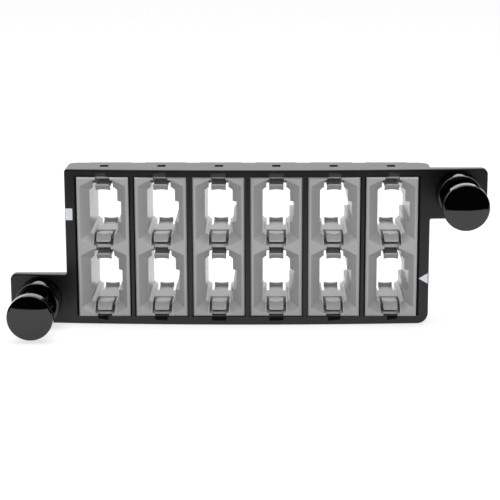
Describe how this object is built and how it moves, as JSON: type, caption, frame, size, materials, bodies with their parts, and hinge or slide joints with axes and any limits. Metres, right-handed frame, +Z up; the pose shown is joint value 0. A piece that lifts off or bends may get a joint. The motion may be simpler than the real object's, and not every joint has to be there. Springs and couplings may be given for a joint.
{
  "type": "fibre cassette",
  "caption": "Flat fibre adapter cassette: a black frame with a row of twin multi-fibre ports, and an offset tab with a push-pull plunger at each end.",
  "frame": {"origin": "midway between the two plungers, on the plane of the tabs' back faces, where the cassette seats on its panel", "axes": "+X along the row of ports, +Z up, +Y backwards into the panel, so the ports and knobs face -Y"},
  "size_m": [0.1332, 0.0468, 0.044],
  "materials": {
    "frame_plastic": "satin black moulding",
    "adapter_plastic": "light grey moulding",
    "knob_plastic": "glossy black nylon",
    "mark_ink": "white print"
  },
  "bodies": {
    "cassette": {"frame": "frame_plastic", "adapter_1_front_shell": "adapter_plastic", "adapter_1_rear_shell": "adapter_plastic", "adapter_2_front_shell": "adapter_plastic", "adapter_2_rear_shell": "adapter_plastic", "adapter_3_front_shell": "adapter_plastic", "adapter_3_rear_shell": "adapter_plastic", "adapter_4_front_shell": "adapter_plastic", "adapter_4_rear_shell": "adapter_plastic", "adapter_5_front_shell": "adapter_plastic", "adapter_5_rear_shell": "adapter_plastic", "adapter_6_front_shell": "adapter_plastic", "adapter_6_rear_shell": "adapter_plastic", "left_grommet": "knob_plastic", "right_grommet": "knob_plastic", "square_mark": "mark_ink", "arrow_mark": "mark_ink"},
    "left_knob": {"left_plunger": "knob_plastic"},
    "right_knob": {"right_plunger": "knob_plastic"}
  },
  "joints": [
    {"name": "left_plunger_slide", "type": "slide", "parent": "cassette", "child": "left_knob", "axis": [0, 1, 0], "range_m": [0, 0.011]},
    {"name": "right_plunger_slide", "type": "slide", "parent": "cassette", "child": "right_knob", "axis": [0, 1, 0], "range_m": [0, 0.011]}
  ]
}
